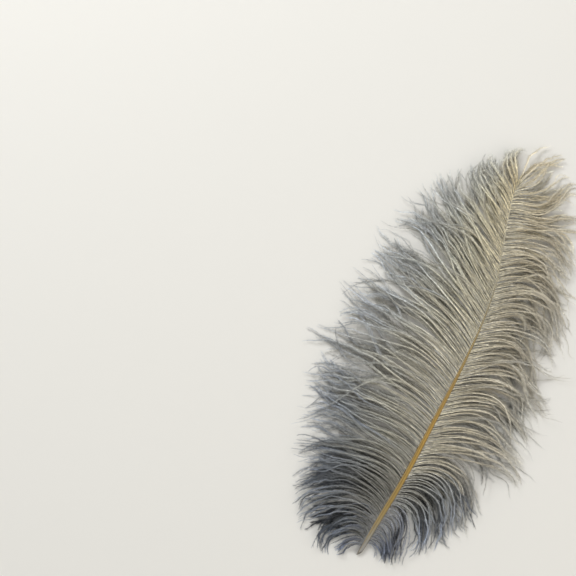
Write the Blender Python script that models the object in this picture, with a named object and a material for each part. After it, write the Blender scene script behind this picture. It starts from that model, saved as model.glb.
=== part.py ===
"""Ostrich feather, a drab wing plume, lying on a table with its upper side up.

The quill end points to -Y and the tip to +Y. +Z is up, and the table is z = 0.
The shaft bows gently to +X and arches off the table. The loose barbs of each
side leave the shaft, droop, and rest on the table with their outer ends. Each
side is one thin slab, ridged and slotted into the locks that its barbs gather
in. The downy barbs at the foot of the shaft are a slab of their own.
"""
import bpy
import bmesh
import math
import numpy as np

MM = 0.001

# ---- driving dimensions, in millimetres and degrees -------------------------
SHAFT_LENGTH = 409.0        # along the shaft, cut end to tip
GAP = 0.4                   # clear space between the shaft and a vane's root
RING_SIDES = 14             # facets around the shaft
RING_COUNT = 64             # rings along it

# Where the shaft runs: x sideways and y forwards, from the cut end.
SHAFT_PATH = [
    (0.0, 0.0), (4.4, 37.8), (10.4, 84.0), (15.6, 151.6), (20.3, 219.0),
    (21.6, 255.0), (18.9, 305.0), (10.5, 345.0), (3.0, 385.0), (0.6, 408.0),
]
# Fraction along the shaft: height of its centre, half width, half height.
SHAFT_SECTION = [
    (0.00, 2.3, 1.90, 1.80), (0.04, 3.2, 2.50, 2.35), (0.08, 4.8, 2.75, 2.60),
    (0.15, 8.2, 2.85, 2.70), (0.22, 11.2, 2.80, 2.60), (0.30, 14.0, 2.65, 2.40),
    (0.38, 16.2, 2.45, 2.15), (0.45, 17.6, 2.10, 1.85), (0.51, 18.4, 1.70, 1.50),
    (0.57, 18.6, 1.25, 1.20), (0.64, 18.2, 0.90, 0.90), (0.72, 16.8, 0.70, 0.70),
    (0.82, 14.0, 0.58, 0.58), (0.91, 10.8, 0.46, 0.46), (1.00, 7.4, 0.30, 0.30),
]
CUT_SLANT_SIDE = 2.6        # how far the oblique cut of the quill runs, across
CUT_SLANT_UP = 4.2          # and over its height
GROOVE_DEPTH = 0.30         # of the groove under the shaft, as part of its half height

# How the barbs of each side run. Fraction along the shaft, the angle from the
# shaft at the root, at a third, at two thirds and at the end, and the length.
LEFT_BARBS = [
    (0.030, 56, 104, 128, 136, 62), (0.060, 56, 104, 126, 138, 84),
    (0.100, 56, 102, 122, 138, 98), (0.150, 56, 99, 117, 134, 108),
    (0.200, 57, 97, 110, 124, 116), (0.260, 60, 94, 102, 110, 126),
    (0.310, 62, 92, 98, 103, 138), (0.370, 63, 89, 96, 99, 151),
    (0.430, 63, 86, 95, 98, 159), (0.490, 61, 81, 91, 96, 159),
    (0.570, 58, 74, 82, 88, 153), (0.645, 54, 66, 71, 76, 149),
    (0.700, 50, 57, 60, 60, 141), (0.750, 47, 49, 48, 40, 128),
    (0.800, 45, 43, 39, 24, 114), (0.845, 42, 38, 31, 14, 99),
    (0.885, 39, 34, 25, 6, 85), (0.925, 34, 29, 18, 2, 71),
    (0.965, 24, 21, 12, 1, 58), (1.000, 7, 8, 5, 1, 46),
]
RIGHT_BARBS = [
    (0.040, 46, 92, 126, 134, 42), (0.070, 47, 94, 128, 137, 58),
    (0.110, 48, 96, 129, 140, 74), (0.145, 48, 96, 129, 141, 86),
    (0.185, 49, 94, 127, 140, 96), (0.225, 50, 90, 122, 136, 102),
    (0.270, 51, 85, 116, 130, 105), (0.315, 51, 77, 109, 121, 110),
    (0.360, 51, 70, 102, 112, 111), (0.410, 52, 68, 99, 107, 110),
    (0.460, 53, 69, 103, 107, 110), (0.510, 54, 71, 110, 112, 107),
    (0.560, 55, 75, 117, 119, 104), (0.610, 57, 77, 122, 126, 101),
    (0.655, 59, 79, 127, 131, 99), (0.700, 61, 83, 130, 134, 98),
    (0.750, 63, 89, 130, 135, 95), (0.795, 66, 92, 125, 132, 93),
    (0.830, 69, 90, 115, 126, 91), (0.860, 71, 84, 103, 117, 88),
    (0.890, 70, 77, 92, 107, 86), (0.915, 66, 71, 82, 98, 82),
    (0.945, 56, 60, 66, 84, 74), (0.975, 36, 42, 50, 68, 62),
    (1.000, 8, 14, 24, 36, 50),
]
LEFT_SPLIT = 0.205          # where the down ends and the vane begins
RIGHT_SPLIT = 0.245
LEFT_START = 0.035
RIGHT_START = 0.045
SPLIT_GAP = 0.0011          # half the gap between down and vane, as a fraction

VANE_ROOT_THICK = 2.3       # slab thickness at the root, in a lock's middle
VANE_TIP_THICK = 1.5
DOWN_THICK = 3.6
LOCK_EDGE = 0.66            # thickness at a lock's edge, as a part of its middle
FURROW = 1.1                # how far the slab dips between two locks
SLOT_START = 0.56           # locks part beyond this fraction of their length
SLOT_OPEN = 0.80            # how far they have narrowed at their ends
REST_FROM = 0.84            # the underside is flat on the table beyond this
FLOOR_CLEAR = 0.0


def smooth_table(table, f):
    """Value of each column at f, on a smooth curve through the stations."""
    tab = np.array(table, dtype=float)
    x, y = tab[:, 0], tab[:, 1:]
    slope = np.gradient(y, x, axis=0)
    f = min(max(f, x[0]), x[-1])
    i = int(min(max(np.searchsorted(x, f) - 1, 0), len(x) - 2))
    h = x[i + 1] - x[i]
    t = (f - x[i]) / h
    return ((2 * t ** 3 - 3 * t ** 2 + 1) * y[i] + (t ** 3 - 2 * t ** 2 + t) * h * slope[i]
            + (-2 * t ** 3 + 3 * t ** 2) * y[i + 1] + (t ** 3 - t ** 2) * h * slope[i + 1])


def shaft_line():
    """Fraction along the shaft, and x, y there, on a fine smooth line."""
    path = np.array(SHAFT_PATH)
    step = np.hypot(*np.diff(path, axis=0).T)
    at = np.concatenate([[0.0], np.cumsum(step)]) / step.sum()
    table = np.column_stack([at, path])
    fine = np.array([smooth_table(table, f) for f in np.linspace(0.0, 1.0, 801)])
    run = np.concatenate([[0.0], np.cumsum(np.hypot(*np.diff(fine, axis=0).T))])
    scale = SHAFT_LENGTH / run[-1]
    return run / run[-1], fine * scale


LINE_F, LINE_XY = shaft_line()


def shaft_at(f):
    """Centre x, y, the heading (clockwise from +Y), and z, half width and half height."""
    x = np.interp(f, LINE_F, LINE_XY[:, 0])
    y = np.interp(f, LINE_F, LINE_XY[:, 1])
    lo, hi = max(0.0, f - 0.02), min(1.0, f + 0.02)
    dx = np.interp(hi, LINE_F, LINE_XY[:, 0]) - np.interp(lo, LINE_F, LINE_XY[:, 0])
    dy = np.interp(hi, LINE_F, LINE_XY[:, 1]) - np.interp(lo, LINE_F, LINE_XY[:, 1])
    z, half_w, half_h = smooth_table(SHAFT_SECTION, f)
    return x, y, math.atan2(dx, dy), z, half_w, half_h


def barb_line(side, f, turn=0.0, stretch=1.0, steps=30):
    """A barb's x, y at evenly spaced fractions of its length."""
    a0, a1, a2, a3, length = smooth_table(LEFT_BARBS if side < 0 else RIGHT_BARBS, f)
    x, y, heading, _, half_w, _ = shaft_at(f)
    x += side * math.cos(heading) * (half_w + GAP)
    y -= side * math.sin(heading) * (half_w + GAP)
    points = [(x, y)]
    for k in range(steps):
        u = (k + 0.5) / steps
        weights = [
            (1 - 3 * u) * (1 - 1.5 * u) * (1 - u),
            9 * u * (1 - 1.5 * u) * (1 - u),
            -4.5 * u * (1 - 3 * u) * (1 - u),
            u * (1 - 3 * u) * (1 - 1.5 * u),
        ]
        angle = weights[0] * a0 + weights[1] * a1 + weights[2] * a2 + weights[3] * a3
        angle += turn * max(0.0, u - 0.4)
        h = heading + side * math.radians(angle)
        x += math.sin(h) * length * stretch / steps
        y += math.cos(h) * length * stretch / steps
        points.append((x, y))
    return np.array(points)


def barb_at(line, u):
    k = u * (len(line) - 1)
    i = int(min(k, len(line) - 2))
    return line[i] + (line[i + 1] - line[i]) * (k - i)


def mid_height(f, u, lift):
    """Height of a slab's middle: from the shaft's side, over a low crown, down to the table."""
    z = shaft_at(f)[3]
    fall = min(1.0, max(0.0, (u - 0.10) / 0.78))
    fall = fall * fall * (3 - 2 * fall)
    return z * (1.0 - fall) + lift * math.sin(math.pi * min(1.0, u / 0.92)) ** 1.2


def material(name, colour, roughness):
    mat = bpy.data.materials.new(name)
    mat.use_nodes = True
    shader = mat.node_tree.nodes["Principled BSDF"]
    shader.inputs["Base Color"].default_value = (*colour, 1.0)
    shader.inputs["Roughness"].default_value = roughness
    shader.inputs["Metallic"].default_value = 0.0
    return mat


def finish_object(name, bm, mat, smooth=True):
    bmesh.ops.recalc_face_normals(bm, faces=bm.faces[:])
    mesh = bpy.data.meshes.new(name)
    bm.to_mesh(mesh)
    bm.free()
    mesh.materials.append(mat)
    if smooth:
        mesh.shade_smooth()
        mesh.set_sharp_from_angle(angle=math.radians(40))
    obj = bpy.data.objects.new(name, mesh)
    bpy.context.scene.collection.objects.link(obj)
    return obj


def make_shaft(mat):
    """Quill and rachis: a tapered bar, domed above, grooved below, cut obliquely at its foot."""
    bm = bmesh.new()
    rings = []
    for k in range(RING_COUNT):
        f = (k / (RING_COUNT - 1)) ** 1.08
        x, y, heading, z, half_w, half_h = shaft_at(f)
        groove = GROOVE_DEPTH * min(1.0, max(0.0, (f - 0.06) / 0.06)) * min(1.0, max(0.0, (0.70 - f) / 0.1))
        cut = max(0.0, 1.0 - f / 0.02)
        ring = []
        for j in range(RING_SIDES):
            a = 2 * math.pi * (j + 0.5) / RING_SIDES
            across = math.cos(a)
            up = math.sin(a)
            up_shape = up if up > 0 else up * (1.0 - groove * math.exp(-(across / 0.42) ** 2))
            back = cut * (CUT_SLANT_SIDE * across + CUT_SLANT_UP * (up + 1) * 0.5)
            px = x + math.cos(heading) * across * half_w + math.sin(heading) * back
            py = y - math.sin(heading) * across * half_w + math.cos(heading) * back
            pz = z + up_shape * half_h
            ring.append(bm.verts.new((px * MM, py * MM, max(pz, 0.05) * MM)))
        rings.append(ring)
    for low, high in zip(rings, rings[1:]):
        for j in range(RING_SIDES):
            n = (j + 1) % RING_SIDES
            bm.faces.new((low[j], low[n], high[n], high[j]))
    bm.faces.new(rings[0][::-1])
    bm.faces.new(rings[-1])
    return finish_object("shaft", bm, mat)


def make_slab(name, side, f_from, f_to, locks, rows, thick_root, thick_tip, lift, seed, mat):
    """One side's barbs as a thin arched slab, joined near the shaft and parted into locks beyond."""
    rng = np.random.default_rng(seed)
    bounds = [f_from + (f_to - f_from) * k / locks for k in range(locks + 1)]
    inner = [b + (f_to - f_from) / locks * 0.22 * rng.uniform(-1, 1) for b in bounds[1:-1]]
    bounds = [bounds[0]] + inner + [bounds[-1]]
    levels = [(k / rows) ** 0.94 for k in range(rows + 1)]
    bm = bmesh.new()
    under = bm.verts.layers.float.new("underside")

    def vert(point, f, u, ridge):
        thick = (thick_root + (thick_tip - thick_root) * u) * ridge
        middle = mid_height(f, u, lift)
        if ridge < 1.0:
            middle -= FURROW * min(1.0, u / 0.25)
        room = 1.6 * shaft_at(f)[5]
        if u < 0.08:
            thick = min(thick, room)
        low = max(FLOOR_CLEAR, middle - thick / 2)
        if u >= REST_FROM:
            low = FLOOR_CLEAR
        high = max(low + 0.5 * thick, middle + thick / 2)
        v = bm.verts.new((point[0] * MM, point[1] * MM, high * MM))
        v[under] = low * MM
        return v

    joined = [k for k, u in enumerate(levels) if u <= SLOT_START]
    shared = []
    for b in bounds:
        line = barb_line(side, b)
        shared.append([vert(barb_at(line, levels[k]), b, levels[k], LOCK_EDGE) for k in joined])
    for n in range(locks):
        fa, fb = bounds[n], bounds[n + 1]
        fm = 0.5 * (fa + fb)
        turn = rng.uniform(-9, 9)
        stretch = rng.uniform(0.955, 1.0)
        line_a, line_m, line_b = barb_line(side, fa), barb_line(side, fm), barb_line(side, fb)
        free_m = barb_line(side, fm, turn, stretch)
        columns = [[], [], []]
        for k, u in enumerate(levels):
            loose = min(1.0, max(0.0, (u - SLOT_START) / (1 - SLOT_START)))
            middle = barb_at(line_m, u) * (1 - loose) + barb_at(free_m, u) * loose
            if k in joined:
                columns[0].append(shared[n][k])
                columns[1].append(vert(barb_at(line_m, u), fm, u, 1.0))
                columns[2].append(shared[n + 1][k])
                continue
            narrow = SLOT_OPEN * loose ** 0.9
            shift = middle - barb_at(line_m, u)
            left = (barb_at(line_a, u) * (1 - narrow) + barb_at(line_m, u) * narrow) + shift
            right = (barb_at(line_b, u) * (1 - narrow) + barb_at(line_m, u) * narrow) + shift
            columns[0].append(vert(left, fa, u, LOCK_EDGE + 0.1 * loose))
            columns[1].append(vert(middle, fm, u, 1.0))
            columns[2].append(vert(right, fb, u, LOCK_EDGE + 0.1 * loose))
        for c in range(2):
            for k in range(len(levels) - 1):
                bm.faces.new((columns[c][k], columns[c + 1][k], columns[c + 1][k + 1], columns[c][k + 1]))
    bmesh.ops.triangulate(bm, faces=bm.faces[:], quad_method="FIXED")
    lower = bmesh.ops.extrude_face_region(bm, geom=bm.faces[:])["geom"]
    for v in lower:
        if isinstance(v, bmesh.types.BMVert):
            v.co.z = v[under]
    return finish_object(name, bm, mat, smooth=False)


def main():
    for obj in list(bpy.data.objects):
        bpy.data.objects.remove(obj, do_unlink=True)

    keratin = material("shaft", (0.42, 0.25, 0.07), 0.38)
    vane = material("vane", (0.40, 0.39, 0.36), 0.85)
    down = material("down", (0.27, 0.29, 0.33), 0.90)

    parts = [
        make_shaft(keratin),
        make_slab("left_vane", -1, LEFT_SPLIT + SPLIT_GAP, 1.0, 30, 9,
                  VANE_ROOT_THICK, VANE_TIP_THICK, 5.5, 11, vane),
        make_slab("right_vane", 1, RIGHT_SPLIT + SPLIT_GAP, 1.0, 28, 9,
                  VANE_ROOT_THICK, VANE_TIP_THICK, 6.5, 12, vane),
        make_slab("left_down", -1, LEFT_START, LEFT_SPLIT - SPLIT_GAP, 7, 8,
                  DOWN_THICK, VANE_TIP_THICK, 7.0, 13, down),
        make_slab("right_down", 1, RIGHT_START, RIGHT_SPLIT - SPLIT_GAP, 8, 8,
                  DOWN_THICK, VANE_TIP_THICK, 7.5, 14, down),
    ]

    # The origin is at the middle of the feather's footprint, on the table.
    points = np.array([v.co[:] for obj in parts for v in obj.data.vertices])
    low, high = points.min(axis=0), points.max(axis=0)
    for obj in parts:
        for v in obj.data.vertices:
            v.co.x -= (low[0] + high[0]) / 2
            v.co.y -= (low[1] + high[1]) / 2
            v.co.z -= low[2]
    print("footprint centre (mm)", (low[0] + high[0]) / 2 / MM, (low[1] + high[1]) / 2 / MM,
          "size", (high - low) / MM, "triangles",
          {o.name: sum(len(p.vertices) - 2 for p in o.data.polygons) for o in parts})


main()
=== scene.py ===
"""The looks of the ostrich feather: shaft, barbs with their barbules, and downy foot.

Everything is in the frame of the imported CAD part. Lengths below are in
millimetres, measured from the foot of the shaft's centre line, and angles are in
degrees from the shaft's direction. They are moved into the frame and turned into
metres when a mesh is made.
"""

import math

import bpy
import numpy as np
from mathutils import Matrix, Vector


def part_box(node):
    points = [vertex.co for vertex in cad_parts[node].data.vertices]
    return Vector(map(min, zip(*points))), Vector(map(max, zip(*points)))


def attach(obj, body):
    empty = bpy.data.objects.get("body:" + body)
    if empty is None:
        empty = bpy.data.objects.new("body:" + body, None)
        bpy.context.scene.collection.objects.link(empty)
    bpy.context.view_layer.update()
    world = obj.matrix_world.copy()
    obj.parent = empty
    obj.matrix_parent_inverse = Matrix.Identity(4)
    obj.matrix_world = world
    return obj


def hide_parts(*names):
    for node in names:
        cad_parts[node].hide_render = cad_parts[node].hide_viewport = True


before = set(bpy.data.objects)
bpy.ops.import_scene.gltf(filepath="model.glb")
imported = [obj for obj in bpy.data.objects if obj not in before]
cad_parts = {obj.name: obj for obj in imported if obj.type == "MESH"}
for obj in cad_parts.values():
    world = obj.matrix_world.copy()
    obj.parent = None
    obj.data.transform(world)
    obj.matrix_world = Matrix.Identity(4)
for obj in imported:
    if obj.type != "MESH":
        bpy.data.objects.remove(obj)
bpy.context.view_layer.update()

MM = 0.001
SEED = 20247

# ---------------------------------------------------------------- dimensions
SHAFT_LENGTH = 409.0
SHAFT_PATH = [
    (0.0, 0.0), (4.4, 37.8), (10.4, 84.0), (15.6, 151.6), (20.3, 219.0),
    (21.6, 255.0), (18.9, 305.0), (10.5, 345.0), (3.0, 385.0), (0.6, 408.0),
]
SHAFT_SECTION = [
    (0.00, 2.3, 1.90, 1.80), (0.04, 3.2, 2.50, 2.35), (0.08, 4.8, 2.75, 2.60),
    (0.15, 8.2, 2.85, 2.70), (0.22, 11.2, 2.80, 2.60), (0.30, 14.0, 2.65, 2.40),
    (0.38, 16.2, 2.45, 2.15), (0.45, 17.6, 2.10, 1.85), (0.51, 18.4, 1.70, 1.50),
    (0.57, 18.6, 1.25, 1.20), (0.64, 18.2, 0.90, 0.90), (0.72, 16.8, 0.70, 0.70),
    (0.82, 14.0, 0.58, 0.58), (0.91, 10.8, 0.46, 0.46), (1.00, 7.4, 0.30, 0.30),
]
CUT_SLANT_SIDE = 2.6
CUT_SLANT_UP = 4.2
FOOT_LOW = (-1.94, -1.07)   # lowest x and y of the shaft, which the CAD's box places

# Fraction along the shaft; angle at the root, a third, two thirds and the end; length.
LEFT_BARBS = [
    (0.030, 52, 110, 150, 168, 62), (0.064, 50, 112, 154, 172, 88),
    (0.101, 54, 104, 139, 162, 100), (0.150, 54, 100, 124, 145, 111),
    (0.202, 56, 98, 112, 132, 118), (0.256, 62, 93, 100, 112, 126),
    (0.311, 66, 92, 98, 103, 140), (0.372, 68, 90, 97, 101, 154),
    (0.433, 66, 84, 95, 94, 161), (0.491, 61, 79, 92, 99, 160),
    (0.573, 57, 71, 83, 90, 153), (0.645, 53, 64, 70, 78, 150),
    (0.698, 52, 57, 60, 58, 143), (0.749, 48, 48, 42, 16, 128),
    (0.804, 46, 42, 38, 6, 115), (0.844, 43, 39, 31, -4, 100),
    (0.886, 42, 38, 26, -20, 85), (0.923, 38, 42, 18, -52, 68),
    (0.966, 30, 40, 6, -62, 54), (1.000, 12, 18, -6, -40, 46),
]
RIGHT_BARBS = [
    (0.045, 34, 118, 160, 158, 40), (0.070, 34, 118, 160, 154, 57),
    (0.108, 34, 114, 154, 152, 72), (0.143, 36, 106, 146, 145, 88),
    (0.184, 38, 97, 136, 142, 98), (0.224, 42, 91, 130, 136, 103),
    (0.271, 46, 85, 121, 132, 105), (0.314, 50, 76, 111, 122, 111),
    (0.361, 50, 68, 100, 110, 111), (0.412, 51, 67, 100, 103, 109),
    (0.462, 52, 69, 107, 100, 111), (0.511, 53, 70, 114, 110, 107),
    (0.560, 54, 75, 121, 120, 104), (0.608, 55, 77, 127, 131, 101),
    (0.656, 56, 78, 132, 137, 100), (0.698, 57, 84, 136, 138, 101),
    (0.749, 59, 90, 138, 137, 97), (0.794, 65, 97, 134, 138, 94),
    (0.831, 70, 95, 122, 138, 93), (0.856, 73, 84, 103, 130, 88),
    (0.883, 75, 81, 74, 104, 87), (0.911, 72, 82, 52, 100, 84),
    (0.941, 62, 76, 34, 98, 80), (0.969, 38, 61, 30, 98, 71),
    (0.990, 16, 32, 60, 112, 62), (1.000, 8, 14, 30, 70, 52),
]

# The downy foot: short tufts that lie along the shaft, and strands that droop past them.
LEFT_TUFT = [
    (0.018, 64, 140, 168, 172, 30), (0.036, 62, 126, 158, 166, 41), (0.062, 58, 114, 148, 160, 53),
    (0.095, 56, 108, 146, 162, 62), (0.125, 54, 106, 144, 162, 72),
]
RIGHT_TUFT = [
    (0.030, 60, 104, 132, 142, 18), (0.045, 60, 110, 138, 148, 26), (0.070, 60, 124, 150, 158, 40),
    (0.095, 58, 134, 160, 164, 51), (0.120, 58, 140, 166, 168, 62), (0.145, 55, 140, 168, 172, 73),
    (0.165, 52, 136, 166, 172, 80),
]
RIGHT_DOWN = [
    (0.125, 50, 126, 162, 184, 70), (0.150, 48, 120, 156, 178, 79), (0.172, 44, 110, 148, 162, 90),
    (0.192, 40, 97, 136, 144, 98), (0.224, 42, 91, 130, 136, 103), (0.271, 46, 85, 121, 132, 105),
]


def smooth_table(table, f):
    """Each column of the table at every f, on a smooth curve through the stations."""
    tab = np.array(table, dtype=float)
    x, y = tab[:, 0], tab[:, 1:]
    slope = np.gradient(y, x, axis=0)
    f = np.clip(np.atleast_1d(f), x[0], x[-1])
    i = np.clip(np.searchsorted(x, f) - 1, 0, len(x) - 2)
    h = (x[i + 1] - x[i])[:, None]
    t = (f[:, None] - x[i][:, None]) / h
    return ((2 * t ** 3 - 3 * t ** 2 + 1) * y[i] + (t ** 3 - 2 * t ** 2 + t) * h * slope[i]
            + (-2 * t ** 3 + 3 * t ** 2) * y[i + 1] + (t ** 3 - t ** 2) * h * slope[i + 1])


def shaft_line():
    path = np.array(SHAFT_PATH)
    step = np.hypot(*np.diff(path, axis=0).T)
    at = np.concatenate([[0.0], np.cumsum(step)]) / step.sum()
    fine = smooth_table(np.column_stack([at, path]), np.linspace(0.0, 1.0, 801))
    run = np.concatenate([[0.0], np.cumsum(np.hypot(*np.diff(fine, axis=0).T))])
    return run / run[-1], fine * SHAFT_LENGTH / run[-1]


LINE_F, LINE_XY = shaft_line()


def shaft_at(f):
    """x, y, heading clockwise from +Y, z, half width and half height at each f."""
    f = np.atleast_1d(np.asarray(f, float))
    x = np.interp(f, LINE_F, LINE_XY[:, 0])
    y = np.interp(f, LINE_F, LINE_XY[:, 1])
    lo, hi = np.maximum(0.0, f - 0.02), np.minimum(1.0, f + 0.02)
    dx = np.interp(hi, LINE_F, LINE_XY[:, 0]) - np.interp(lo, LINE_F, LINE_XY[:, 0])
    dy = np.interp(hi, LINE_F, LINE_XY[:, 1]) - np.interp(lo, LINE_F, LINE_XY[:, 1])
    sec = smooth_table(SHAFT_SECTION, f)
    return x, y, np.arctan2(dx, dy), sec[:, 0], sec[:, 1], sec[:, 2]


# The shaft's foot in the frame, so that millimetres above become frame metres.
shaft_low, shaft_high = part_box("shaft")
ORIGIN = np.array([shaft_low.x / MM - FOOT_LOW[0], shaft_low.y / MM - FOOT_LOW[1], 0.0])
FLOOR = 0.35                # nothing of the feather is lower than this


def to_frame(points):
    return (np.asarray(points, float) + ORIGIN) * MM


# ------------------------------------------------------------------ materials
def node_tree(name):
    mat = bpy.data.materials.new(name)
    mat.use_nodes = True
    nt = mat.node_tree
    return mat, nt, nt.nodes["Principled BSDF"]


def math_node(nt, op, a, b=None, c=None):
    n = nt.nodes.new("ShaderNodeMath")
    n.operation = op
    for k, v in enumerate((a, b, c)):
        if v is None:
            continue
        if isinstance(v, (int, float)):
            n.inputs[k].default_value = v
        else:
            nt.links.new(v, n.inputs[k])
    return n.outputs[0]


def ramp_node(nt, value, stops, interpolation="LINEAR"):
    n = nt.nodes.new("ShaderNodeValToRGB")
    n.color_ramp.interpolation = interpolation
    els = n.color_ramp.elements
    while len(els) < len(stops):
        els.new(0.5)
    for e, (p, c) in zip(els, stops):
        e.position = p
        e.color = (*c, 1.0) if len(c) == 3 else c
    nt.links.new(value, n.inputs[0])
    return n.outputs[0]


def mix_node(nt, kind, fac, a, b):
    n = nt.nodes.new("ShaderNodeMix")
    n.data_type = "RGBA"
    n.blend_type = kind
    n.clamp_factor = True
    for k, v in ((0, fac), (6, a), (7, b)):
        if isinstance(v, (int, float)):
            n.inputs[k].default_value = v
        elif isinstance(v, tuple):
            n.inputs[k].default_value = (*v, 1.0)
        else:
            nt.links.new(v, n.inputs[k])
    return n.outputs[2]


def noise_node(nt, vector, scale, detail=2.0, rough=0.5, distortion=0.0):
    n = nt.nodes.new("ShaderNodeTexNoise")
    n.noise_dimensions = "3D"
    n.inputs["Scale"].default_value = scale
    n.inputs["Detail"].default_value = detail
    n.inputs["Roughness"].default_value = rough
    n.inputs["Distortion"].default_value = distortion
    nt.links.new(vector, n.inputs["Vector"])
    return n.outputs["Fac"]


def combine(nt, x, y, z=0.0):
    n = nt.nodes.new("ShaderNodeCombineXYZ")
    for k, v in enumerate((x, y, z)):
        if isinstance(v, (int, float)):
            n.inputs[k].default_value = v
        else:
            nt.links.new(v, n.inputs[k])
    return n.outputs[0]


def uv_xy(nt):
    uv = nt.nodes.new("ShaderNodeUVMap")
    uv.uv_map = "OFBake"
    sep = nt.nodes.new("ShaderNodeSeparateXYZ")
    nt.links.new(uv.outputs[0], sep.inputs[0])
    return sep.outputs[0], sep.outputs[1]


def barb_material(name, count, along, across, tone=1.0, seed=0.0, rough=0.62, sheen=0.20, core=0.62, silver=0.0):
    """Barbs and barbules. Colours run along each barb (u) and from barb to barb (v).
    Each barb has its own band of v, with its stem in the middle and its barbules' tips at the rims."""
    mat, nt, shader = node_tree(name)
    u, v = uv_xy(nt)
    base = ramp_node(nt, u, along, "EASE")
    tint = ramp_node(nt, v, across, "EASE")
    colour = mix_node(nt, "MULTIPLY", 1.0, base, tint)
    row = math_node(nt, "MULTIPLY", v, float(count))
    number = math_node(nt, "FLOOR", row)
    off = math_node(nt, "ABSOLUTE", math_node(nt, "SUBTRACT", math_node(nt, "FRACT", row), 0.5))
    # a tone of its own for each barb, broader bands over neighbours, and flecks among its barbules
    own = noise_node(nt, combine(nt, math_node(nt, "MULTIPLY", u, 1.3), math_node(nt, "MULTIPLY", number, 0.83), seed), 1.0, 1.0)
    broad = noise_node(nt, combine(nt, math_node(nt, "MULTIPLY", u, 2.6), math_node(nt, "MULTIPLY", v, count * 0.07), seed + 7.0), 1.0, 2.0)
    fleck = noise_node(nt, combine(nt, math_node(nt, "MULTIPLY", u, 120.0), math_node(nt, "MULTIPLY", v, count * 3.2), seed + 3.0), 1.0, 2.0, 0.6)
    patch = noise_node(nt, combine(nt, math_node(nt, "MULTIPLY", u, 30.0), math_node(nt, "MULTIPLY", v, count * 1.1), seed + 5.0), 1.0, 1.0)
    # painted light and shade: short dark and pale hatches beside the shaft stand in for the lit tops and shaded gaps
    # of the crowded barbs there
    painted_hatch = noise_node(nt, combine(nt, math_node(nt, "MULTIPLY", u, 26.0), math_node(nt, "MULTIPLY", v, count * 2.3), seed + 13.0), 1.0, 1.0)
    near = ramp_node(nt, u, [(0.0, (1.0, 1.0, 1.0)), (0.16, (0.8, 0.8, 0.8)), (0.42, (0.0, 0.0, 0.0))])
    painted_hatch = math_node(nt, "MULTIPLY_ADD", math_node(nt, "MULTIPLY_ADD", painted_hatch, 2.8, -1.4), near, 1.0)
    shade = math_node(nt, "MULTIPLY_ADD", own, 1.40, 0.30)
    shade = math_node(nt, "MULTIPLY", shade, painted_hatch)
    shade = math_node(nt, "MULTIPLY", shade, math_node(nt, "MULTIPLY_ADD", patch, 1.00, 0.50))
    shade = math_node(nt, "MULTIPLY", shade, math_node(nt, "MULTIPLY_ADD", broad, 0.50, 0.75))
    shade = math_node(nt, "MULTIPLY", shade, math_node(nt, "MULTIPLY_ADD", fleck, 2.10, -0.07))
    # painted light: the stem is painted paler, a highlight along each barb set by core, and the barbules darker
    # towards their tips, painted shade that makes each barb read as a rounded strand
    middle = ramp_node(nt, off, [(0.0, (1.0, 1.0, 1.0)), (0.105, (0.80, 0.80, 0.80)), (0.16, (0.35, 0.35, 0.35)), (0.42, (0.0, 0.0, 0.0))])
    shade = math_node(nt, "MULTIPLY", shade, math_node(nt, "MULTIPLY_ADD", middle, core, 1.0 - 0.32 * core))
    shade = math_node(nt, "MULTIPLY", shade, tone)
    colour = mix_node(nt, "MULTIPLY", 1.0, colour, combine(nt, shade, shade, shade))
    # some barbs are browner, some greyer
    warm = ramp_node(nt, own, [(0.25, (0.93, 0.86, 0.74)), (0.46, (1.0, 0.98, 0.93)), (0.75, (1.0, 1.01, 1.03))])
    colour = mix_node(nt, "MULTIPLY", 0.85, colour, warm)
    if silver:
        # and some turn a bluish silver towards their ends: partly their own grey tone, partly a painted bluish
        # highlight of the cool light
        pick = noise_node(nt, combine(nt, math_node(nt, "MULTIPLY", u, 0.8), math_node(nt, "MULTIPLY", v, count * 0.30), seed + 11.0), 1.0, 1.0)
        pick = ramp_node(nt, pick, [(0.42, (0.0, 0.0, 0.0)), (0.62, (1.0, 1.0, 1.0))], "EASE")
        far = ramp_node(nt, u, [(0.25, (0.0, 0.0, 0.0)), (0.80, (silver, silver, silver))], "EASE")
        less = ramp_node(nt, v, [(0.45, (1.0, 1.0, 1.0)), (0.90, (0.10, 0.10, 0.10))])
        pick = mix_node(nt, "MULTIPLY", 1.0, pick, mix_node(nt, "MULTIPLY", 1.0, far, less))
        colour = mix_node(nt, "MULTIPLY", pick, colour, (1.06, 1.10, 1.18))
    nt.links.new(colour, shader.inputs["Base Color"])
    rough_v = math_node(nt, "MULTIPLY_ADD", own, 0.22, rough - 0.11)
    nt.links.new(rough_v, shader.inputs["Roughness"])
    shader.inputs["Specular IOR Level"].default_value = 0.40
    shader.inputs["Sheen Weight"].default_value = sheen
    shader.inputs["Sheen Roughness"].default_value = 0.45
    shader.inputs["Sheen Tint"].default_value = (0.92, 0.95, 1.0, 1.0)
    return mat


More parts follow.
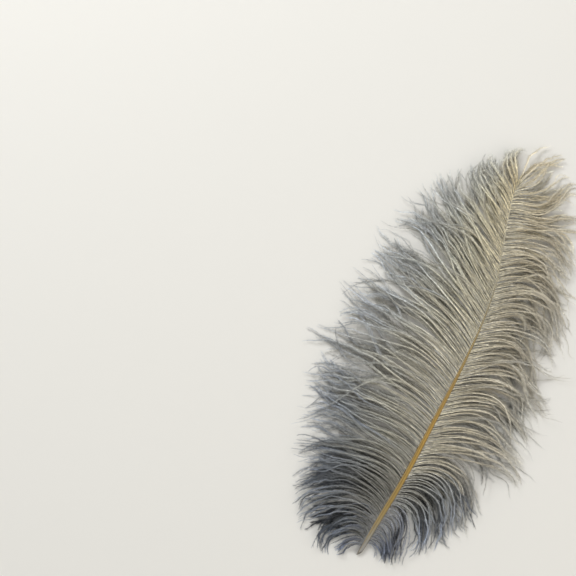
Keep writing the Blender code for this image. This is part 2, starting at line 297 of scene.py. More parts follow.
def shaft_material():
    """Horn: pale at the cut foot, golden ochre, then dark brown and grey at the hair-thin tip.
    u runs along the shaft, v around it with the ridge of the upper side at 0.5."""
    mat, nt, shader = node_tree("shaft_horn")
    u, v = uv_xy(nt)
    ridge = ramp_node(nt, u, [
        (0.00, (0.33, 0.315, 0.285)), (0.03, (0.30, 0.28, 0.245)), (0.06, (0.32, 0.28, 0.195)), (0.10, (0.37, 0.275, 0.115)),
        (0.15, (0.37, 0.245, 0.062)), (0.22, (0.40, 0.245, 0.045)), (0.33, (0.44, 0.255, 0.034)), (0.45, (0.36, 0.215, 0.040)),
        (0.53, (0.33, 0.225, 0.070)), (0.60, (0.30, 0.225, 0.095)), (0.70, (0.29, 0.25, 0.16)), (0.78, (0.36, 0.325, 0.235)),
        (0.86, (0.46, 0.42, 0.31)), (1.00, (0.52, 0.48, 0.37))])
    edge = ramp_node(nt, u, [
        (0.00, (0.22, 0.20, 0.17)), (0.05, (0.17, 0.145, 0.10)), (0.10, (0.14, 0.095, 0.040)), (0.22, (0.13, 0.080, 0.024)),
        (0.40, (0.15, 0.086, 0.024)), (0.55, (0.14, 0.095, 0.038)), (0.66, (0.17, 0.14, 0.082)), (0.78, (0.30, 0.27, 0.19)),
        (0.86, (0.44, 0.40, 0.30)), (1.00, (0.52, 0.48, 0.37))])
    # the upper side takes the ridge colours and the flanks and underside the darker edge colours: partly the horn's
    # own two tones, partly painted shade on the rounded flanks
    turn = math_node(nt, "SUBTRACT", v, 0.5)
    across = math_node(nt, "ABSOLUTE", math_node(nt, "ADD", turn, 0.012))
    side = ramp_node(nt, across, [(0.0, (0, 0, 0)), (0.065, (0.12, 0.12, 0.12)), (0.13, (0.70, 0.70, 0.70)), (0.19, (1, 1, 1))], "EASE")
    colour = mix_node(nt, "MIX", side, ridge, edge)
    # painted shade darkens the groove along the upper side, and a painted highlight marks the ridge beside it where it
    # catches the light
    fade = ramp_node(nt, u, [(0.02, (0.0, 0.0, 0.0)), (0.08, (0.8, 0.8, 0.8)), (0.45, (0.7, 0.7, 0.7)), (0.60, (0, 0, 0))])
    groove = ramp_node(nt, math_node(nt, "ABSOLUTE", math_node(nt, "SUBTRACT", turn, 0.052)), [(0.0, (1, 1, 1)), (0.012, (0.8, 0.8, 0.8)), (0.034, (0, 0, 0))], "EASE")
    colour = mix_node(nt, "MIX", mix_node(nt, "MULTIPLY", 1.0, groove, fade), colour, (0.15, 0.088, 0.026))
    line = ramp_node(nt, math_node(nt, "ABSOLUTE", math_node(nt, "SUBTRACT", turn, 0.108)), [(0.0, (1, 1, 1)), (0.034, (0, 0, 0))], "EASE")
    colour = mix_node(nt, "MIX", mix_node(nt, "MULTIPLY", 0.65, line, fade), colour, (0.46, 0.33, 0.125))
    # growth bands, long streaks and specks of dried sheath
    streak = noise_node(nt, combine(nt, math_node(nt, "MULTIPLY", u, 14.0), math_node(nt, "MULTIPLY", v, 46.0)), 1.0, 4.0, 0.6)
    band = noise_node(nt, combine(nt, math_node(nt, "MULTIPLY", u, 70.0), math_node(nt, "MULTIPLY", v, 1.5), 4.0), 1.0, 3.0, 0.55)
    speck = noise_node(nt, combine(nt, math_node(nt, "MULTIPLY", u, 420.0), math_node(nt, "MULTIPLY", v, 22.0), 9.0), 1.0, 2.0, 0.6)
    shade = math_node(nt, "MULTIPLY", math_node(nt, "MULTIPLY_ADD", streak, 0.60, 0.72), math_node(nt, "MULTIPLY_ADD", band, 0.36, 0.84))
    colour = mix_node(nt, "MULTIPLY", 1.0, colour, combine(nt, shade, shade, shade))
    flakes = ramp_node(nt, speck, [(0.66, (0, 0, 0)), (0.74, (1, 1, 1))])
    colour = mix_node(nt, "MIX", mix_node(nt, "MULTIPLY", 1.0, flakes, (0.30, 0.30, 0.30)), colour, (0.62, 0.58, 0.50))
    nt.links.new(colour, shader.inputs["Base Color"])
    nt.links.new(math_node(nt, "MULTIPLY_ADD", streak, 0.26, 0.26), shader.inputs["Roughness"])
    bump = nt.nodes.new("ShaderNodeBump")
    bump.inputs["Strength"].default_value = 0.35
    bump.inputs["Distance"].default_value = 0.0003
    nt.links.new(math_node(nt, "ADD", streak, math_node(nt, "MULTIPLY", band, 0.5)), bump.inputs["Height"])
    nt.links.new(bump.outputs[0], shader.inputs["Normal"])
    shader.inputs["Specular IOR Level"].default_value = 0.5
    return mat


# --------------------------------------------------------------------- meshes
def make_object(name, verts, tris, uvs, mat, smooth=False):
    """verts in millimetres (N,3), tris (M,3), uvs one per vertex (N,2)."""
    me = bpy.data.meshes.new(name)
    me.vertices.add(len(verts))
    me.vertices.foreach_set("co", to_frame(verts).astype(np.float32).ravel())
    me.loops.add(tris.size)
    me.loops.foreach_set("vertex_index", tris.astype(np.int32).ravel())
    me.polygons.add(len(tris))
    me.polygons.foreach_set("loop_start", np.arange(0, tris.size, 3, dtype=np.int32))
    me.polygons.foreach_set("loop_total", np.full(len(tris), 3, np.int32))
    me.polygons.foreach_set("use_smooth", np.full(len(tris), bool(smooth)))
    me.update(calc_edges=True)
    layer = me.uv_layers.new(name="OFBake")
    layer.data.foreach_set("uv", uvs[tris.ravel()].astype(np.float32).ravel())
    me.materials.append(mat)
    ob = bpy.data.objects.new(name, me)
    bpy.context.scene.collection.objects.link(ob)
    return ob


class Pile:
    """Vertices, triangles and UVs gathered from many small shapes."""

    def __init__(self):
        self.v, self.t, self.uv, self.n = [], [], [], 0

    def add(self, v, t, uv):
        self.v.append(v)
        self.t.append(t + self.n)
        self.uv.append(uv)
        self.n += len(v)

    def faces(self):
        return sum(len(t) for t in self.t)

    def object(self, name, mat, smooth=False):
        return make_object(name, np.concatenate(self.v), np.concatenate(self.t), np.concatenate(self.uv), mat, smooth)


def unit(a):
    return a / np.maximum(np.linalg.norm(a, axis=-1, keepdims=True), 1e-9)


def smoothstep(a, b, x):
    t = np.clip((x - a) / (b - a), 0.0, 1.0)
    return t * t * (3 - 2 * t)


def tube(pile, line, radius, sides, uv_u, v_mid, v_half):
    """A closed tapered tube along the line, pointed at its end and at its hidden root."""
    n = len(line)
    tan = unit(np.gradient(line, axis=0))
    side = unit(np.cross(tan, np.array([0.0, 0.0, 1.0])))
    up = np.cross(side, tan)
    ang = 2 * math.pi * (np.arange(sides) + 0.25) / sides
    ring = (line[:-1, None, :] + radius[:-1, None, None] * (
        np.cos(ang)[None, :, None] * side[:-1, None, :] + np.sin(ang)[None, :, None] * up[:-1, None, :]))
    verts = np.concatenate([ring.reshape(-1, 3), line[-1:], line[:1] - tan[:1] * 0.2])
    k = np.arange(n - 2)[:, None] * sides
    j = np.arange(sides)[None, :]
    m = (j + 1) % sides
    a, b, c, d = k + j, k + m, k + sides + m, k + sides + j
    tris = np.concatenate([np.stack([a, b, c], -1).reshape(-1, 3), np.stack([a, c, d], -1).reshape(-1, 3)])
    last = (n - 2) * sides
    turn = (np.arange(sides) + 1) % sides
    tip = np.stack([last + np.arange(sides), last + turn, np.full(sides, (n - 1) * sides)], -1)
    root = np.stack([np.arange(sides), np.full(sides, (n - 1) * sides + 1), turn], -1)
    uv_u = 0.003 + 0.995 * uv_u
    uv = np.stack([np.repeat(uv_u[:-1], sides), np.tile(v_mid + v_half * np.cos(ang), n - 1)], -1)
    uv = np.concatenate([uv, [[uv_u[-1], v_mid]], [[0.0, v_mid + 0.3 * v_half]]])
    pile.add(verts, np.concatenate([tris, tip, root]), uv)


def along(line, at):
    """Points and unit tangents at fractions of the line's length."""
    n = len(line) - 1
    k = np.clip(at * n, 0, n - 1e-6)
    i = k.astype(int)
    w = (k - i)[:, None]
    tan = unit(np.gradient(line, axis=0))
    return line[i] * (1 - w) + line[i + 1] * w, unit(tan[i] * (1 - w) + tan[i + 1] * w)


def barbules(pile, rng, line, length, v_mid, v_half, step, reach, width, lean, spread, droop, shape, lean_end=None, tumble=1.0):
    """Barbules on both sides of a barb: each one a thin blade, rooted on the barb and leaning forward."""
    n = max(4, int(length / step))
    for hand in (-1.0, 1.0):
        at = (np.arange(n) + rng.uniform(0.05, 0.95, n)) / n
        at = at[at < 0.995]
        base, tan = along(line, at)
        side = unit(np.cross(tan, np.array([0.0, 0.0, 1.0]))) * hand
        up = np.cross(side, tan) * hand
        up *= np.sign(up[:, 2:3] + 1e-9)
        to = lean if lean_end is None else lean_end
        bunch = np.sin(at * length / rng.uniform(0.9, 1.5) + rng.uniform(0, 6.28)) * np.sin(at * length / rng.uniform(2.0, 3.5) + rng.uniform(0, 6.28))
        a = np.radians(lean + (to - lean) * np.minimum(1.0, at / 0.7) + 13.0 * bunch + rng.normal(0, 11.0, len(at)))
        roll = np.radians(rng.uniform(-spread, spread, len(at)) - droop)
        out = side * np.cos(roll)[:, None] + up * np.sin(roll)[:, None]
        d = tan * np.cos(a)[:, None] + out * np.sin(a)[:, None]
        profile = np.interp(at, shape[0], shape[1])
        size = reach * profile * rng.uniform(0.60, 1.15, len(at)) * (1.0 + 0.25 * bunch)
        edge = unit(np.cross(d, up + tumble * rng.normal(0, 1, (len(at), 3))))
        w = width * rng.uniform(0.70, 1.20, len(at)) * (0.45 + 0.55 * profile)
        a0 = base - edge * w[:, None] * 0.5
        a1 = base + edge * w[:, None] * 0.5
        tip = base + d * size[:, None]
        tip[:, 2] -= 0.05 * size
        v = np.stack([a0, a1, tip], 1)
        v[:, :, 2] = np.maximum(v[:, :, 2], FLOOR)
        share = size / length
        uv = np.stack([
            np.stack([at, np.full(len(at), v_mid)], -1),
            np.stack([np.minimum(at + 0.35 * share, 1.0), np.full(len(at), v_mid + hand * v_half * 0.15)], -1),
            np.stack([np.minimum(at + share * 0.8, 1.0), np.full(len(at), v_mid + hand * v_half)], -1)], 1)
        pile.add(v.reshape(-1, 3), np.arange(len(at) * 3).reshape(-1, 3), uv.reshape(-1, 2))


def angle_along(u, knots):
    """Angle at each u from its values at 0, 1/3, 2/3 and 1. knots is (barbs, 4), u is (steps,)."""
    w = np.stack([
        (1 - 3 * u) * (1 - 1.5 * u) * (1 - u), 9 * u * (1 - 1.5 * u) * (1 - u),
        -4.5 * u * (1 - 3 * u) * (1 - u), u * (1 - 3 * u) * (1 - 1.5 * u)])
    return knots @ w


def wave(u, rng, n, rows):
    """Smooth wavy noise for each row, zero at u = 0."""
    out = np.zeros((rows, len(u)))
    for k in range(n):
        freq = rng.uniform(0.6, 1.2, rows) * (k + 1)
        amp = rng.normal(0, 1.0, rows) / (k + 1)
        ph = rng.uniform(0, 2 * math.pi, rows)
        out += amp[:, None] * (np.sin(2 * math.pi * freq[:, None] * u[None, :] + ph[:, None]) - np.sin(ph)[:, None])
    return out


def crimp(u, rng, rows, fewest, most):
    """A fine waviness for each row that grows towards the end; some rows have much of it and some little."""
    cycles = rng.uniform(fewest, most, rows)[:, None]
    phase = rng.uniform(0, 1, rows)[:, None]
    drift = rng.uniform(0.1, 0.5, rows)[:, None] * np.sin(2 * math.pi * (rng.uniform(0.7, 1.6, rows)[:, None] * u[None, :] + phase))
    much = rng.uniform(0.0, 1.0, rows)[:, None] ** 1.6
    return much * np.sin(2 * math.pi * (cycles * u[None, :] + phase + drift)) * smoothstep(0.22, 0.95, u)[None, :]


def grouped(n, rng, fewest, most):
    """A group number for each of n neighbours, with fewest to most of them in a group."""
    return np.repeat(np.arange(n), rng.integers(fewest, most + 1, n))[:n]


def drawn_together(xy, group, weight):
    """Points moved towards the middle of their group by weight, for (barbs, steps) coordinates."""
    count = np.bincount(group)
    out = []
    for c in xy:
        mid = np.zeros((len(count), c.shape[1]))
        np.add.at(mid, group, c)
        mid /= count[:, None]
        out.append(c * (1 - weight) + mid[group] * weight)
    return out


def barb_lines(side, f, rng, steps=50, wisp=(2, 3), lock=(3, 6), tight=0.86, gather=0.55, lift=6.0,
               wild=0.06, low=(0.0, 0.0), loose=1.0, relief=1.0, shortest=0.72, length=1.0, curly=1.0, table=None):
    """Centre lines of the barbs that leave the shaft at each f, gathered in wisps and the wisps in locks.
    Gives (barbs, steps + 1, 3) points and each barb's length."""
    n = len(f)
    tab = smooth_table(table or (LEFT_BARBS if side < 0 else RIGHT_BARBS), f)
    x0, y0, head, z0, half_w, half_h = shaft_at(f)
    u = np.linspace(0, 1, steps + 1)
    um = (u[1:] + u[:-1]) / 2

    wisp_of = grouped(n, rng, *wisp)
    wisps = wisp_of.max() + 1
    lock_of_wisp = grouped(wisps, rng, *lock)
    lock_of = lock_of_wisp[wisp_of]
    locks = lock_of.max() + 1
    stray = (rng.uniform(0, 1, wisps) < wild)[wisp_of]

    late = smoothstep(0.06, 0.95, um)[None, :]
    last = smoothstep(0.62, 1.0, um)[None, :]
    rise = (0.10 + 0.90 * smoothstep(0.08, 0.80, um))[None, :]
    usual = angle_along(um, tab[:, :4])
    angle = usual.copy()
    for group, count, turn, curl, bend, waves in (
            (lock_of, locks, 6.5, 18.0, 8.0, 3), (wisp_of, wisps, 4.6, 20.0, 8.5, 4), (np.arange(n), n, 1.8, 12.0, 4.0, 6)):
        change = rng.normal(0, turn, count)[:, None] * late + rng.normal(0, curl, count)[:, None] * last
        change = change + bend * wave(um, rng, waves, count) * rise
        angle += loose * change[group]
    angle += rng.normal(0, 1.9, n)[:, None] + rng.normal(0, 1.6, wisps)[wisp_of][:, None]
    angle += np.where(stray, rng.normal(0, 17.0, wisps)[wisp_of], 0.0)[:, None] * smoothstep(0.05, 0.9, um)[None, :]
    angle += curly * (30.0 * crimp(um, rng, wisps, 3.5, 7.0)[wisp_of] + 13.0 * crimp(um, rng, n, 5.0, 9.0))
    angle = usual + 72.0 * np.tanh((angle - usual) / 72.0)

    h = head[:, None] + side * np.radians(angle)
    full = tab[:, 4] * length * rng.uniform(0.92, 1.03, locks)[lock_of] * rng.uniform(0.90, 1.04, wisps)[wisp_of]
    dx, dy = np.sin(h) * (full / steps)[:, None], np.cos(h) * (full / steps)[:, None]
    reach = half_w * 0.66
    sx = x0 + side * np.cos(head) * reach
    sy = y0 - side * np.sin(head) * reach
    x = np.concatenate([sx[:, None], sx[:, None] + np.cumsum(dx, 1)], 1)
    y = np.concatenate([sy[:, None], sy[:, None] + np.cumsum(dy, 1)], 1)

    own = tight * rng.uniform(0.85, 1.06, wisps)[wisp_of]
    w = smoothstep(0.01, 0.38, u)[None, :] * np.minimum(own, 0.95)[:, None] * (1 - 0.30 * smoothstep(0.75, 1.0, u))[None, :]
    x, y = drawn_together((x, y), wisp_of, w)
    own = gather * rng.uniform(0.5, 1.3, locks)[lock_of]
    w = smoothstep(0.30, 1.0, u)[None, :] * np.where(stray, 0.1, np.minimum(own, 0.9))[:, None]
    x, y = drawn_together((x, y), lock_of, w)

    # height: out of the shaft's side, over a low crown, and down to the table
    fall = smoothstep(0.08, 0.92, u)[None, :]
    crown = np.sin(math.pi * np.minimum(1.0, u / 0.96)) ** 1.1
    z = (z0 + 0.50 * half_h)[:, None] * (1 - fall)
    z = z + (lift * rng.uniform(0.55, 1.35, locks))[lock_of][:, None] * crown[None, :]
    early = smoothstep(0.03, 0.30, u)[None, :]
    z = z + relief * (1.3 * wave(u, rng, 2, locks)[lock_of] * early + 0.9 * wave(u, rng, 3, wisps)[wisp_of] * early
                      + 0.55 * wave(u, rng, 4, n) * early)
    z = z + relief * rng.normal(0, 0.9, wisps)[wisp_of][:, None] * early
    z = z + np.where(stray, 2.6, 0.0)[:, None] * smoothstep(0.1, 0.5, u)[None, :]
    z = z + (rng.uniform(0.2, 3.0, locks)[lock_of] + rng.uniform(0.0, 1.6, wisps)[wisp_of])[:, None] * smoothstep(0.6, 1.0, u)[None, :]
    sink = rng.uniform(*low, wisps)[wisp_of][:, None]
    z = z * (1 - sink) + sink * FLOOR
    top = (0.52 * z0 + 12.0)[:, None]     # few barbs arch higher than this
    z = np.where(z > top, top + 0.35 * (z - top), z)
    z = np.maximum(z, FLOOR + 0.35)
    lines = np.stack([x, y, z], -1)

    # the barbs of a wisp end one after another, so that the wisp thins to a point
    share = rng.uniform(shortest, 1.0, n)
    first = np.concatenate([[True], wisp_of[1:] != wisp_of[:-1]])
    share[first] = rng.uniform(0.93, 1.0, first.sum())
    k = share[:, None] * u[None, :] * steps
    i = np.minimum(k.astype(int), steps - 1)
    t = (k - i)[:, :, None]
    rows = np.arange(n)[:, None]
    lines = lines[rows, i] * (1 - t) + lines[rows, i + 1] * t
    return lines, full * share


def barb_piece(name, side, f_from, f_to, pitch, seed, mat_of, nodes, lines, blades, stem=0.25):
    """One piece: all barbs of one stretch of one side."""
    rng = np.random.default_rng(SEED + seed)
    n = int((f_to - f_from) * SHAFT_LENGTH / pitch)
    f = f_from + (f_to - f_from) * (np.arange(n) + 0.5 + rng.uniform(-0.45, 0.45, n)) / n
    points, length = barb_lines(side, np.sort(f), rng, **lines)
    pile = Pile()
    u = np.linspace(0, 1, points.shape[1])
    for i in range(n):
        v_mid = (i + 0.5) / n
        v_half = 0.42 / n
        radius = (stem * (1 - 0.80 * u) + 0.01) * rng.uniform(0.80, 1.15)
        tube(pile, points[i], radius, 3, u, v_mid, v_half * 0.25)
        barbules(pile, rng, points[i], length[i], v_mid, v_half, **blades)
    ob = pile.object(name, mat_of(n))
    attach(ob, "root")
    if nodes:
        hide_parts(*nodes)
    print("PIECE", name, "barbs", n, "triangles", pile.faces())
    return pile.faces()


# ---------------------------------------------------------------------- shaft
def shaft_piece():
    rings, sides = 300, 40
    f = (np.arange(rings) / (rings - 1)) ** 1.02
    x, y, head, z, half_w, half_h = shaft_at(f)
    a = 2 * math.pi * np.arange(sides) / sides - math.pi / 2   # starts under the shaft
    across, up = np.cos(a), np.sin(a)
    groove = 0.42 * np.clip((f - 0.06) / 0.06, 0, 1) * np.clip((0.75 - f) / 0.12, 0, 1)
    crest = 0.05 * np.clip((f - 0.03) / 0.05, 0, 1)
    up_s = np.where(up[None, :] > 0,
                    up[None, :] * (1 + crest[:, None] * (1.5 * np.exp(-((across[None, :] + 0.10) / 0.20) ** 2)
                                                         - 2.6 * np.exp(-((across[None, :] - 0.32) / 0.13) ** 2))),
                    up[None, :] * (1 - groove[:, None] * np.exp(-(across[None, :] / 0.40) ** 2)))
    cut = np.clip(1.0 - f / 0.02, 0, None)
    back = cut[:, None] * (CUT_SLANT_SIDE * across[None, :] + CUT_SLANT_UP * (up[None, :] + 1) * 0.5)
    px = x[:, None] + np.cos(head)[:, None] * across[None, :] * half_w[:, None] + np.sin(head)[:, None] * back
    py = y[:, None] - np.sin(head)[:, None] * across[None, :] * half_w[:, None] + np.cos(head)[:, None] * back
    pz = z[:, None] + up_s * half_h[:, None]
    pz = np.maximum(pz, 0.5)
    verts = np.stack([px, py, pz], -1)
    uv = np.stack(np.broadcast_arrays(f[:, None], (np.arange(sides) / sides)[None, :]), -1)
    pile = Pile()
    # an own seam column, so that the map has no turn-around face
    verts = np.concatenate([verts, verts[:, :1]], 1)
    uv = np.concatenate([uv, np.stack([f, np.ones(rings)], -1)[:, None]], 1)
    cols = sides + 1
    k = np.arange(rings - 1)[:, None] * cols
    j = np.arange(sides)[None, :]
    aa, bb, cc, dd = k + j, k + j + 1, k + cols + j + 1, k + cols + j
    tris = np.concatenate([np.stack([aa, bb, cc], -1).reshape(-1, 3), np.stack([aa, cc, dd], -1).reshape(-1, 3)])
    pile.add(verts.reshape(-1, 3), tris, uv.reshape(-1, 2))
    # the cut end: a rim, and the dry pith set back inside it
    rim = verts[0, :sides]
    mid = rim.mean(0)
    inner = mid + (rim - mid) * 0.62
    deep = inner + np.array([math.sin(head[0]), math.cos(head[0]), 0.0]) * 5.0
    deep = deep.mean(0) + (deep - deep.mean(0)) * 0.8
    core = deep.mean(0)[None, :] + np.array([[0.0, -0.6, 0.0]])
    ringuv = np.stack([np.full(sides, 0.001), np.arange(sides) / sides], -1)
    v = np.concatenate([rim, inner, deep, core])
    t = []
    for j in range(sides):
        m = (j + 1) % sides
        t += [(j, sides + m, m), (j, sides + j, sides + m)]
        t += [(sides + j, 2 * sides + m, sides + m), (sides + j, 2 * sides + j, 2 * sides + m)]
        t += [(2 * sides + j, 3 * sides, 2 * sides + m)]
    pile.add(v, np.array(t), np.concatenate([ringuv, ringuv, ringuv, [[0.001, 0.5]]]))
    end = verts[-1, :sides]
    pile.add(np.concatenate([end, end.mean(0)[None]]),
             np.array([(j, (j + 1) % sides, sides) for j in range(sides)]),
             np.stack([np.full(sides + 1, 1.0), np.linspace(0, 1, sides + 1)], -1))
    ob = pile.object("shaft_fine", shaft_material(), smooth=True)
    ob.data.set_sharp_from_angle(angle=math.radians(50))
    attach(ob, "root")
    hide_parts("shaft")
    return ob, pile.faces()


# --------------------------------------------------------------------- pieces
WHITE = (1.0, 1.0, 1.0)
# from the root to the tip of a barb
ALONG_LEFT = [(0.0, (0.43, 0.395, 0.300)), (0.20, (0.49, 0.455, 0.36)), (0.45, (0.53, 0.51, 0.435)),
              (0.68, (0.47, 0.47, 0.445)), (0.88, (0.42, 0.43, 0.44)), (1.0, (0.45, 0.47, 0.50))]
ALONG_RIGHT = [(0.0, (0.475, 0.435, 0.33)), (0.25, (0.51, 0.465, 0.365)), (0.6, (0.54, 0.50, 0.415)),
               (0.85, (0.57, 0.545, 0.485)), (1.0, (0.61, 0.595, 0.56))]
ALONG_DOWN = [(0.0, (0.40, 0.38, 0.325)), (0.25, (0.43, 0.415, 0.365)), (0.55, (0.42, 0.43, 0.43)),
              (0.8, (0.44, 0.47, 0.52)), (1.0, (0.54, 0.575, 0.64))]
ALONG_TUFT = [(0.0, (0.36, 0.36, 0.36)), (0.4, (0.36, 0.375, 0.42)), (0.8, (0.42, 0.45, 0.53)), (1.0, (0.52, 0.55, 0.63))]
# painted shade: the middle and under layers are coloured far darker near the barbs' roots than the top layer, standing
# in for the shade the upper barbs cast on them
ALONG_LEFT_DEEP_SHADED = [(0.0, (0.17, 0.152, 0.115)), (0.25, (0.27, 0.25, 0.197)), (0.5, (0.42, 0.405, 0.355)),
                   (0.75, (0.40, 0.405, 0.405)), (1.0, (0.52, 0.54, 0.565))]
ALONG_RIGHT_DEEP_SHADED = [(0.0, (0.19, 0.168, 0.122)), (0.25, (0.30, 0.27, 0.205)), (0.5, (0.46, 0.425, 0.345)),
                    (0.75, (0.52, 0.49, 0.43)), (1.0, (0.61, 0.595, 0.55))]
ALONG_DEEP_SHADED = [(0.0, (0.11, 0.098, 0.07)), (0.35, (0.17, 0.157, 0.122)), (0.7, (0.36, 0.347, 0.312)), (1.0, (0.58, 0.58, 0.565))]
# from the foot to the tip of the stretch
LEFT_LOW = [(0.0, (0.50, 0.525, 0.58)), (0.25, (0.73, 0.755, 0.80)), (0.6, (0.96, 0.97, 0.98)), (1.0, (1.04, 1.04, 1.04))]
LEFT_HIGH = [(0.0, (1.04, 1.04, 1.04)), (0.35, (1.10, 1.10, 1.06)), (0.75, (1.31, 1.27, 1.15)), (1.0, (1.48, 1.42, 1.26))]
RIGHT_LOW = [(0.0, (1.02, 1.03, 1.05)), (0.4, (1.08, 1.08, 1.07)), (1.0, WHITE)]
RIGHT_HIGH = [(0.0, WHITE), (0.5, (1.06, 1.05, 1.03)), (1.0, (1.22, 1.20, 1.14))]
WHOLE = [(0.0, (0.54, 0.57, 0.63)), (0.2, (0.88, 0.90, 0.94)), (0.4, (1.15, 1.15, 1.14)), (0.6, (1.16, 1.16, 1.14)), (1.0, (1.56, 1.52, 1.40))]
LYING_LOOSE = [(0.0, (0.60, 0.63, 0.69)), (0.2, (0.88, 0.90, 0.94)), (0.5, (1.05, 1.05, 1.04)), (1.0, (1.22, 1.19, 1.11))]
DOWN_FOOT = [(0.0, (0.76, 0.80, 0.88)), (0.5, (0.86, 0.88, 0.92)), (1.0, WHITE)]

SHAPE_VANE = ([0.0, 0.05, 0.20, 0.40, 0.75, 0.92, 1.0], [0.12, 0.19, 0.42, 0.84, 1.0, 0.65, 0.25])
SHAPE_DOWN = ([0.0, 0.06, 0.3, 0.75, 0.93, 1.0], [0.25, 0.35, 0.80, 1.0, 0.60, 0.25])

UPPER = {"step": 0.335, "reach": 4.0, "width": 0.25, "lean": 42.0, "lean_end": 21.0, "spread": 60.0, "droop": 14.0, "shape": SHAPE_VANE}
MIDDLE = {"step": 0.48, "reach": 6.0, "width": 0.32, "lean": 34.0, "lean_end": 24.0, "spread": 65.0, "droop": 5.0, "shape": SHAPE_VANE}
UNDER = {"step": 0.68, "reach": 5.8, "width": 0.48, "lean": 36.0, "lean_end": 24.0, "spread": 60.0, "droop": 0.0, "shape": SHAPE_VANE}
DOWN = {"step": 0.315, "reach": 3.2, "width": 0.22, "lean": 30.0, "lean_end": 20.0, "spread": 65.0, "droop": 8.0, "shape": SHAPE_DOWN}
THIN = {"step": 0.50, "reach": 2.6, "width": 0.20, "lean": 34.0, "lean_end": 24.0, "spread": 70.0, "droop": 8.0, "shape": SHAPE_DOWN}


def coat(name, along, across, seed, tone=1.0, **more):
    return lambda n: barb_material(name, n, along, across, tone, seed, **more)


total = shaft_piece()[1]

for name, side, lo, hi, pitch, seed, along_stops, across in (
        ("left_barbs_lower", -1, 0.185, 0.47, 1.65, 1, ALONG_LEFT, LEFT_LOW),
        ("left_barbs_upper", -1, 0.47, 1.0, 1.65, 2, ALONG_LEFT, LEFT_HIGH),
        ("right_barbs_lower", 1, 0.225, 0.60, 1.65, 3, ALONG_RIGHT, RIGHT_LOW),
        ("right_barbs_upper", 1, 0.60, 1.0, 1.65, 4, ALONG_RIGHT, RIGHT_HIGH)):
    total += barb_piece(name, side, lo, hi, pitch, seed,
                        coat(name + "_coat", along_stops, across, float(seed), silver=0.9 if side < 0 else 0.35),
                        ["left_vane" if side < 0 else "right_vane"],
                        {"lift": 6.5 if side < 0 else 7.0, "wisp": (1, 3), "lock": (3, 7), "length": 1.0 if side < 0 else 1.05, "curly": 1.25}, UPPER, stem=0.28)

# painted shade: the middle layers take the darkened deep colours, standing in for the shade beneath the top barbs
for name, side, lo, hi, seed, node, along_stops in (
        ("left_middle_barbs", -1, 0.13, 1.0, 7, "left_vane", ALONG_LEFT_DEEP_SHADED),
        ("right_middle_barbs", 1, 0.17, 1.0, 8, "right_vane", ALONG_RIGHT_DEEP_SHADED)):
    total += barb_piece(name, side, lo, hi, 2.5, seed,
                        coat(name + "_coat", along_stops, WHOLE, float(seed), 0.96, silver=0.7 if side < 0 else 0.3), [node],
                        {"lift": 5.0, "low": (0.10, 0.55), "gather": 0.35, "tight": 0.7, "steps": 36, "loose": 1.25, "length": 0.97}, MIDDLE)

# painted shade: the under layers take the darkest colours, standing in for the shade at the bottom of the vane
for name, side, lo, hi, seed, node in (
        ("left_under_barbs", -1, 0.11, 1.0, 11, "left_vane"),
        ("right_under_barbs", 1, 0.15, 1.0, 12, "right_vane")):
    total += barb_piece(name, side, lo, hi, 2.8, seed, coat(name + "_coat", ALONG_DEEP_SHADED, WHOLE, 5.0 + seed, 0.95), [node],
                        {"lift": 2.0, "low": (0.35, 0.85), "gather": 0.2, "tight": 0.5, "steps": 30, "length": 0.84, "curly": 0.5}, UNDER)

# a few wisps lie loose on top and cross the others
for name, side, lo, hi, pitch, seed, node, along_stops in (
        ("left_loose_barbs", -1, 0.24, 0.97, 5.0, 15, "left_vane", ALONG_LEFT),
        ("right_loose_barbs", 1, 0.26, 0.97, 6.5, 16, "right_vane", ALONG_RIGHT)):
    total += barb_piece(name, side, lo, hi, pitch, seed,
                        coat(name + "_coat", along_stops, LYING_LOOSE, float(seed), 0.86 if side < 0 else 0.92, silver=0.9 if side < 0 else 0.4), [node],
                        {"lift": 8.5, "wisp": (1, 3), "lock": (1, 2), "tight": 0.95, "gather": 0.4, "loose": 1.8, "wild": 0.3,
                         "length": 0.99, "shortest": 0.6, "curly": 1.3}, UPPER, stem=0.22)

# thin single barbs reach past the edge and lie on the table
for name, side, lo, hi, pitch, seed, node, along_stops, longer in (
        ("left_edge_barbs", -1, 0.20, 0.90, 9.0, 31, "left_vane", ALONG_LEFT, 1.06),
        ("right_edge_barbs", 1, 0.25, 0.80, 5.0, 32, "right_vane", ALONG_RIGHT, 1.18)):
    total += barb_piece(name, side, lo, hi, pitch, seed,
                        coat(name + "_coat", along_stops, LYING_LOOSE, float(seed), 0.85, silver=0.6 if side < 0 else 0.2), [node],
                        {"lift": 3.0, "low": (0.05, 0.45), "wisp": (1, 2), "lock": (1, 3), "tight": 0.8, "gather": 0.3, "loose": 1.7,
                         "wild": 0.2, "length": longer, "shortest": 0.7, "curly": 1.2}, THIN, stem=0.20)

for name, side, lo, hi, pitch, seed, node, table, tone in (
        ("left_down_barbs", -1, 0.030, 0.205, 1.30, 41, "left_down", None, 0.62),
        ("right_down_barbs", 1, 0.142, 0.245, 1.30, 22, "right_down", RIGHT_DOWN, 0.98)):
    total += barb_piece(name, side, lo, hi, pitch, seed, coat(name + "_coat", ALONG_DOWN, DOWN_FOOT, 8.0 + seed, tone, silver=0.8), [node],
                        {"lift": 6.5, "wisp": (1, 3), "lock": (3, 5), "gather": 0.5, "wild": 0.08, "loose": 1.25, "relief": 1.05,
                         "curly": 1.0, "table": table}, DOWN, stem=0.26)
